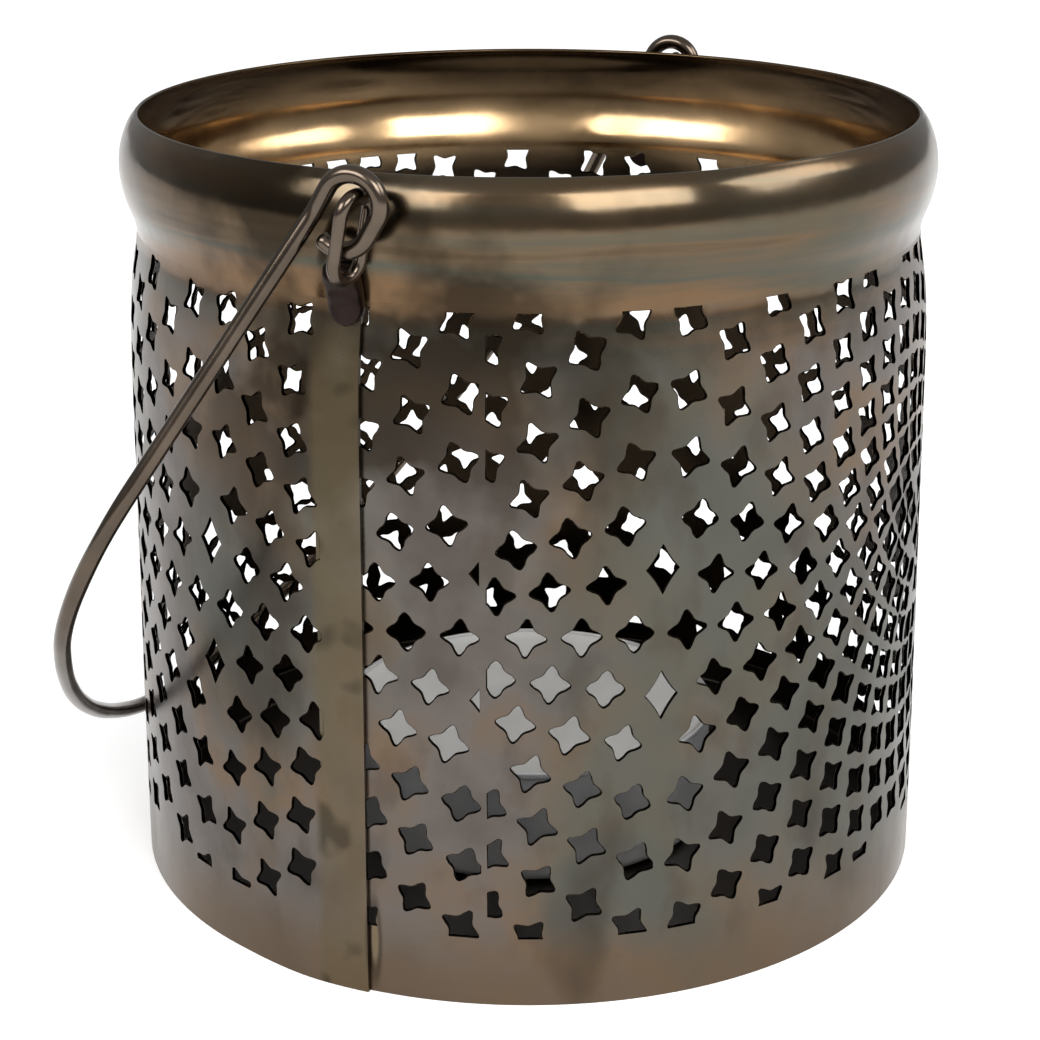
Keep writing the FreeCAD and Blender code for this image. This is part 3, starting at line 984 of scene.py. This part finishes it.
def stained(tree, colour, part, strength, stain):
    """The colour with a stain over it where part is 1, as strong as strength says."""
    node = tree.nodes.new("ShaderNodeMix")
    node.data_type = "RGBA"
    tree.links.new(combined(tree, "MULTIPLY", part, strength), node.inputs[MIX_FACTOR])
    tree.links.new(colour, node.inputs[MIX_UNDER])
    if isinstance(stain, tuple):
        node.inputs[MIX_OVER].default_value = (*stain, 1)
    else:
        tree.links.new(stain, node.inputs[MIX_OVER])
    return node.outputs[MIX_RESULT]


def roughness_between(tree, base, source, low, high):
    """Roughness that follows the clouds from low to high."""
    node = tree.nodes.new("ShaderNodeMapRange")
    tree.links.new(source, node.inputs["Value"])
    node.inputs["From Min"].default_value = CLOUD_LOW
    node.inputs["From Max"].default_value = CLOUD_HIGH
    node.inputs["To Min"].default_value = low
    node.inputs["To Max"].default_value = high
    tree.links.new(node.outputs["Result"], base.inputs["Roughness"])


def bumped(tree, base, source, strength, depth):
    """A bump that follows the clouds: the share of it that shows, and its height in metres."""
    bump = tree.nodes.new("ShaderNodeBump")
    bump.inputs["Strength"].default_value = strength
    bump.inputs["Distance"].default_value = depth
    tree.links.new(source, bump.inputs["Height"])
    tree.links.new(bump.outputs["Normal"], base.inputs["Normal"])


def seam_place(tree, place):
    """Object coordinates turned so that X runs out through the seam."""
    turn = tree.nodes.new("ShaderNodeMapping")
    turn.inputs["Rotation"].default_value = (0, 0, -SEAM_BEARING)
    tree.links.new(place.outputs["Object"], turn.inputs["Vector"])
    return turn.outputs["Vector"]


def split(tree, vector):
    """The X, Y and Z of a vector."""
    axes = tree.nodes.new("ShaderNodeSeparateXYZ")
    tree.links.new(vector, axes.inputs["Vector"])
    return axes.outputs


def distance_to(tree, vector, spot, stretch=(1, 1, 1)):
    """Distance from a spot, both measured after the stretch."""
    mapping = tree.nodes.new("ShaderNodeMapping")
    mapping.inputs["Scale"].default_value = stretch
    tree.links.new(vector, mapping.inputs["Vector"])
    node = tree.nodes.new("ShaderNodeVectorMath")
    node.operation = "DISTANCE"
    tree.links.new(mapping.outputs["Vector"], node.inputs[0])
    node.inputs[1].default_value = spot
    return node.outputs["Value"]


# Colours of the tin

TIN_TONES = [
    (0.33, (0.084, 0.071, 0.062)),
    (0.46, (0.120, 0.105, 0.094)),
    (0.58, (0.142, 0.099, 0.066)),
    (0.68, (0.104, 0.094, 0.083)),
]
STREAK_TONES = [
    (0.36, (0.050, 0.033, 0.018)),
    (0.46, (0.130, 0.092, 0.056)),
    (0.54, (0.078, 0.080, 0.062)),
    (0.64, (0.165, 0.098, 0.050)),
]
GOLD_TONES = [
    (0.32, (0.170, 0.090, 0.036)),
    (0.46, (0.500, 0.335, 0.175)),
    (0.58, (0.370, 0.250, 0.135)),
    (0.68, (0.210, 0.140, 0.070)),
]
GREEN = (0.078, 0.084, 0.070)
FLECK_BROWN = (0.050, 0.036, 0.026)
FOOT_BROWN = (0.112, 0.077, 0.048)
BEAD_BROWN = (0.130, 0.086, 0.046)
BURNT_BROWN = (0.028, 0.020, 0.014)
# Near-black of the patches round the ear: scorch marks with painted shade of the ear, ring and eye
SCORCH_AND_SHADE_BLACK = (0.022, 0.016, 0.010)
STRIP_OLIVE = (0.100, 0.076, 0.042)
WELD_GREY = (0.030, 0.026, 0.018)
# Painted shade and painted highlight of the crease at the seam's foot
CREASE_PAINTED_SHADE = (0.030, 0.022, 0.014)
CREASE_PAINTED_HIGHLIGHT = (0.170, 0.130, 0.084)
LIP_BROWN = (0.055, 0.034, 0.018)
# Painted near-black shade on the lantern's inside from the neck down
INSIDE_SHADE_BLACK = (0.020, 0.015, 0.011)

# Where marks come in, in metres: heights first, then places across the seam's side
FOOT_STAIN = (0.013, 0.004)
NECK_STREAKS = (0.090, 0.099)
BEAD_TINT = (0.1035, 0.1100)
STRIP_TOP = (0.0960, 0.0945)
# Heights where the inside turns darker brown towards the lip
LIP_DARKENING = (0.1035, 0.1095)
# Heights of the painted shade inside, full from the neck down
WALL_SHADE_HEIGHTS = (0.100, 0.094)
SEAM_SIDE = (0.0, 0.01)
STRIP_LEFT = (-0.0078, -0.0066)
STRIP_RIGHT = (0.0002, -0.0002)

# Marks round a spot: the spot, and the distances from it between which they come in
EAR_SPOT = (0.060, -0.002, 0.098)
# Distances over which the scorch marks and painted shade round the ear come in
SCORCH_AND_SHADE_REACH = (0.055, 0.018)
CREASE_SPOT = (0, 0.0008, 0.00128)
CREASE_STRETCH = (0, 1, 0.16)
CREASE_RIM = (0.0013, 0.0009)
CREASE_CORE = (0.0007, 0.0004)


def strip_marks(tree, colour, place, axes):
    """The dull strip along the seam, with its weld spots."""
    strip = between(tree, axes["Y"], *STRIP_LEFT)
    for axis, stretch in (("Y", STRIP_RIGHT), ("X", SEAM_SIDE), ("Z", STRIP_TOP)):
        strip = combined(tree, "MULTIPLY", strip, between(tree, axes[axis], *stretch))
    colour = stained(tree, colour, strip, strength=0.55, stain=STRIP_OLIVE)
    spots = patches(tree, place, low=0.60, high=0.68, scale=105, detail=2)
    welds = combined(tree, "MULTIPLY", strip, spots)
    return stained(tree, colour, welds, strength=0.65, stain=WELD_GREY)


def crease_painted_light(tree, colour, turned, axes):
    """The spindle-shaped crease at the seam's foot, painted on: a dark rim of painted shade and a
    bright core of painted highlight.
    """
    facing = between(tree, axes["X"], *SEAM_SIDE)
    far = distance_to(tree, turned, CREASE_SPOT, CREASE_STRETCH)
    rim = combined(tree, "MULTIPLY", between(tree, far, *CREASE_RIM), facing)
    colour = stained(tree, colour, rim, strength=0.6, stain=CREASE_PAINTED_SHADE)
    core = combined(tree, "MULTIPLY", between(tree, far, *CREASE_CORE), facing)
    return stained(tree, colour, core, strength=0.8, stain=CREASE_PAINTED_HIGHLIGHT)


def burnished(name, low_rough, high_rough):
    """Outside of the tin: grey bronze with brown, green and dark burnt patches, dark patches round
    the ear that are partly painted shade, and a crease at the seam's foot painted in shade and
    highlight.
    """
    material, tree, base = shader(name, 1.0)
    place = tree.nodes.new("ShaderNodeTexCoord")
    turned = seam_place(tree, place)
    axes = split(tree, turned)
    colour = ramp(tree, noise(tree, place, scale=48, detail=7, stretch=(1, 1, 0.9)), TIN_TONES)
    green = patches(tree, place, low=0.46, high=0.60, scale=24, detail=6, stretch=(1, 1, 0.6))
    colour = stained(tree, colour, green, strength=0.7, stain=GREEN)
    flecks = patches(tree, place, low=0.52, high=0.66, scale=130, detail=5, stretch=(1, 1, 0.7))
    colour = stained(tree, colour, flecks, strength=0.35, stain=FLECK_BROWN)
    foot = between(tree, axes["Z"], *FOOT_STAIN)
    colour = stained(tree, colour, foot, strength=0.75, stain=FOOT_BROWN)
    streaks = noise(tree, place, scale=10, detail=6, stretch=(1, 1, 16))
    neck = between(tree, axes["Z"], *NECK_STREAKS)
    tones = ramp(tree, streaks, STREAK_TONES)
    colour = stained(tree, colour, neck, strength=0.85, stain=tones)
    bead = between(tree, axes["Z"], *BEAD_TINT)
    colour = stained(tree, colour, bead, strength=0.45, stain=BEAD_BROWN)
    burnt = patches(tree, place, low=0.57, high=0.70, scale=32, detail=5, stretch=(1, 1, 0.6))
    colour = stained(tree, colour, burnt, strength=0.6, stain=BURNT_BROWN)
    # Dark patches round the ear: partly scorch marks, partly painted shade of the ear, ring and eye
    near_ear = between(tree, distance_to(tree, turned, EAR_SPOT), *SCORCH_AND_SHADE_REACH)
    scorch_and_shade_clouds = patches(tree, place, low=0.44, high=0.56, scale=48, detail=4)
    scorch_and_shade = combined(tree, "MULTIPLY", near_ear, scorch_and_shade_clouds)
    colour = stained(tree, colour, scorch_and_shade, strength=0.85, stain=SCORCH_AND_SHADE_BLACK)
    colour = strip_marks(tree, colour, place, axes)
    colour = crease_painted_light(tree, colour, turned, axes)
    tree.links.new(colour, base.inputs["Base Color"])
    sheen = noise(tree, place, scale=60, detail=7)
    roughness_between(tree, base, sheen, low_rough, high_rough)
    dents = noise(tree, place, scale=75, detail=3)
    bumped(tree, base, dents, strength=0.25, depth=0.0006)
    return material


def golden(name):
    """Inside of the tin: golden brown, darker brown towards the lip and painted near-black shade
    from the neck down; smoother than the outside.
    """
    material, tree, base = shader(name, 1.0)
    place = tree.nodes.new("ShaderNodeTexCoord")
    height = split(tree, place.outputs["Object"])["Z"]
    clouds = noise(tree, place, scale=22, detail=8, stretch=(1, 1, 2.2))
    colour = ramp(tree, clouds, GOLD_TONES)
    # Darker brown towards the lip
    by_lip = between(tree, height, *LIP_DARKENING)
    colour = stained(tree, colour, by_lip, strength=0.8, stain=LIP_BROWN)
    # Painted near-black shade on the inside from the neck down
    by_wall = between(tree, height, *WALL_SHADE_HEIGHTS)
    colour = stained(tree, colour, by_wall, strength=0.95, stain=INSIDE_SHADE_BLACK)
    tree.links.new(colour, base.inputs["Base Color"])
    sheen = noise(tree, place, scale=60, detail=6)
    roughness_between(tree, base, sheen, low=0.12, high=0.26)
    dents = noise(tree, place, scale=70, detail=3)
    bumped(tree, base, dents, strength=0.2, depth=0.0006)
    return material


# Plain materials: how far tone and sheen vary, and how much finer the bump is than the clouds
TONE_STOPS = (0.35, 0.65)
TONE_VARIATION = 0.22
SHEEN_SHARES = (0.8, 1.25)
BUMP_FINENESS = 1.7
BUMP_STRENGTH = 0.4


def plain(name, colour, metallic, roughness, grain, depth, variation=TONE_VARIATION):
    """One colour with a cloudy change of tone and sheen, and a fine bump of the given depth."""
    material, tree, base = shader(name, metallic)
    place = tree.nodes.new("ShaderNodeTexCoord")
    cloud = noise(tree, place, scale=grain, detail=4)
    low, high = TONE_STOPS
    tones = ramp(tree, cloud, [
        (low, tuple(part * (1 - variation) for part in colour)),
        (high, tuple(part * (1 + variation) for part in colour)),
    ])
    tree.links.new(tones, base.inputs["Base Color"])
    roughness_between(tree, base, cloud, *(roughness * part for part in SHEEN_SHARES))
    fine = noise(tree, place, scale=grain * BUMP_FINENESS, detail=3)
    bumped(tree, base, fine, BUMP_STRENGTH, depth)
    return material


TIN = burnished("burnished_tin", low_rough=0.20, high_rough=0.38)
COLLAR_TIN = burnished("glossy_tin", low_rough=0.10, high_rough=0.24)
TIN_INSIDE = golden("gold_tin_inside_painted_shade")
WIRE = plain(
    "forged_wire", (0.100, 0.078, 0.060), metallic=1.0, roughness=0.20, grain=90, depth=0.0001
)
# The ear's near-black colour is partly its dark metal and partly painted shade under the ring and
# eye
EAR_DARK_AND_SHADE = plain(
    "brazed_ear", (0.021, 0.014, 0.012), metallic=1.0, roughness=0.34, grain=300, depth=0.0003
)
# The tray's near-black colour is painted shade for the inside of the lantern
TRAY_IN_SHADE = plain(
    "tray_tin_painted_shade", (0.036, 0.030, 0.025), metallic=1.0, roughness=0.36, grain=40, depth=0.0003
)
CUP = plain(
    "thin_cup", (0.82, 0.82, 0.82), metallic=0.75, roughness=0.38, grain=90, depth=0.0002,
    variation=0.06,
)
WAX = plain(
    "candle_wax", (0.74, 0.74, 0.72), metallic=0.0, roughness=0.42, grain=60, depth=0.0002,
    variation=0.03,
)
WICK = plain(
    "wick_cotton", (0.74, 0.71, 0.64), metallic=0.0, roughness=0.9, grain=1500, depth=0.0002
)


# Pieces

FACING_AXIS = -0.3


def dress(piece, body, slot_name, node, *materials):
    """Gives a piece its materials, hides the node that it stands for and attaches it to its body;
    slot_name is not used.
    """
    for material in materials:
        piece.data.materials.append(material)
    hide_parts(node)
    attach(piece, body)


def line_inside(piece):
    """Faces that look at the lantern's axis take the inside finish."""
    for face in piece.data.polygons:
        away = Vector((face.center.x, face.center.y, 0)).normalized()
        if face.normal.dot(away) < FACING_AXIS:
            face.material_index = 1


wall = sheet_piece("punched_wall", 0.0, WALL_TOP, hole_outlines())
collar = collar_piece("rolled_collar", WALL_TOP, LIP_HEIGHT)
dress(wall, "lantern", "bronzed_sheet", "wall_sheet", TIN, TIN_INSIDE)
dress(collar, "lantern", "bronzed_collar", "collar", COLLAR_TIN, TIN_INSIDE)
line_inside(wall)
line_inside(collar)
dress(base_piece("base_tray"), "lantern", "bronzed_sheet", "base_plate", TRAY_IN_SHADE)
for end, way in (("front", 1), ("back", -1)):
    dress(lug_ring(f"{end}_ring_wire", way), "lantern", "dark_wire", f"{end}_lug_ring", WIRE)
    dress(ear_piece(f"{end}_brazed_ear", way), "lantern", "bronzed_collar", f"{end}_ear", EAR_DARK_AND_SHADE)
dress(bail_piece("bail_handle"), "bail", "dark_wire", "bail", WIRE)
dress(cup_piece("tealight_cup"), "candle", "cup_metal", "candle_cup", CUP)
dress(wax_piece("tealight_wax"), "candle", "wax", "candle_wax", WAX)
dress(wick_piece("tealight_wick"), "candle", "wick", "wick", WICK)
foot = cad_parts["wick_foot"]
foot.data.materials.clear()
foot.data.materials.append(CUP)


# Floor, surround, lamps and camera

FLOOR_HALF = 4.0
FLOOR_GREY = 0.86
FLOOR_ROUGHNESS = 0.9
FLOOR_GLOW = 0.3
SURROUND = [
    (0.0, (0.31, 0.31, 0.31)), (0.25, (0.37, 0.37, 0.37)), (0.7, (0.56, 0.56, 0.56)),
]
LAMP_AIM = Vector((0, 0, 0.06))
CAMERA_PLACE = (0.0, -0.35363, 0.17246)
CAMERA_PITCH = math.radians(73.006)


def floor_piece():
    """A pale floor with a small glow for camera, glossy and transmission rays."""
    far = FLOOR_HALF
    corners = [(-far, -far, 0), (far, -far, 0), (far, far, 0), (-far, far, 0)]
    piece = new_piece("floor", corners, [(0, 1, 2, 3)])
    material, tree, base = shader("pale_floor", 0.0)
    base.inputs["Roughness"].default_value = FLOOR_ROUGHNESS
    base.inputs["Base Color"].default_value = (FLOOR_GREY, FLOOR_GREY, FLOOR_GREY, 1)
    base.inputs["Emission Color"].default_value = (1, 1, 1, 1)
    rays = tree.nodes.new("ShaderNodeLightPath").outputs
    seen = combined(tree, "MAXIMUM", rays["Is Camera Ray"], rays["Is Transmission Ray"])
    seen = combined(tree, "MAXIMUM", seen, rays["Is Glossy Ray"])
    tree.links.new(combined(tree, "MULTIPLY", seen, FLOOR_GLOW), base.inputs["Emission Strength"])
    piece.data.materials.append(material)
    return piece


def surround():
    """A grey room, lighter overhead, that the camera sees as plain white."""
    world = bpy.data.worlds.new("soft_room")
    world.use_nodes = True
    sky = world.node_tree
    direction = sky.nodes.new("ShaderNodeTexCoord")
    grey = ramp(sky, split(sky, direction.outputs["Generated"])["Z"], SURROUND)
    backdrop = sky.nodes.new("ShaderNodeMixRGB")
    view = sky.nodes.new("ShaderNodeLightPath")
    sky.links.new(view.outputs["Is Camera Ray"], backdrop.inputs["Fac"])
    sky.links.new(grey, backdrop.inputs["Color1"])
    backdrop.inputs["Color2"].default_value = (1, 1, 1, 1)
    sky.links.new(backdrop.outputs["Color"], sky.nodes["Background"].inputs["Color"])
    sky.nodes["Background"].inputs["Strength"].default_value = 1.0
    return world


def lamp(name, power, wide, high, place):
    """A soft box that looks at the lantern's middle."""
    data = bpy.data.lights.new(name, "AREA")
    data.shape = "RECTANGLE"
    data.size = wide
    data.size_y = high
    data.energy = power
    light = bpy.data.objects.new(name, data)
    light.location = place
    light.rotation_euler = (LAMP_AIM - Vector(place)).to_track_quat("-Z", "Y").to_euler()
    bpy.context.scene.collection.objects.link(light)


floor_piece()
bpy.context.scene.world = surround()
lamp("left_soft", power=27.0, wide=1.45, high=0.75, place=(-1.19, -1.15, 1.2))
lamp("right_soft", power=22.0, wide=1.05, high=0.75, place=(0.80, -1.45, 1.2))
lamp("side_soft", power=15.0, wide=1.15, high=0.70, place=(1.65, -0.17, 1.15))

eye = bpy.data.cameras.new("photo_camera")
eye.sensor_width = 36.0
eye.lens = 83.25
eye.shift_x = -0.0082
eye.shift_y = -0.0865
camera = bpy.data.objects.new("photo_camera", eye)
camera.location = CAMERA_PLACE
camera.rotation_euler = (CAMERA_PITCH, 0.0, 0.0)
bpy.context.scene.collection.objects.link(camera)
bpy.context.scene.camera = camera
bpy.context.scene.view_settings.view_transform = "Standard"
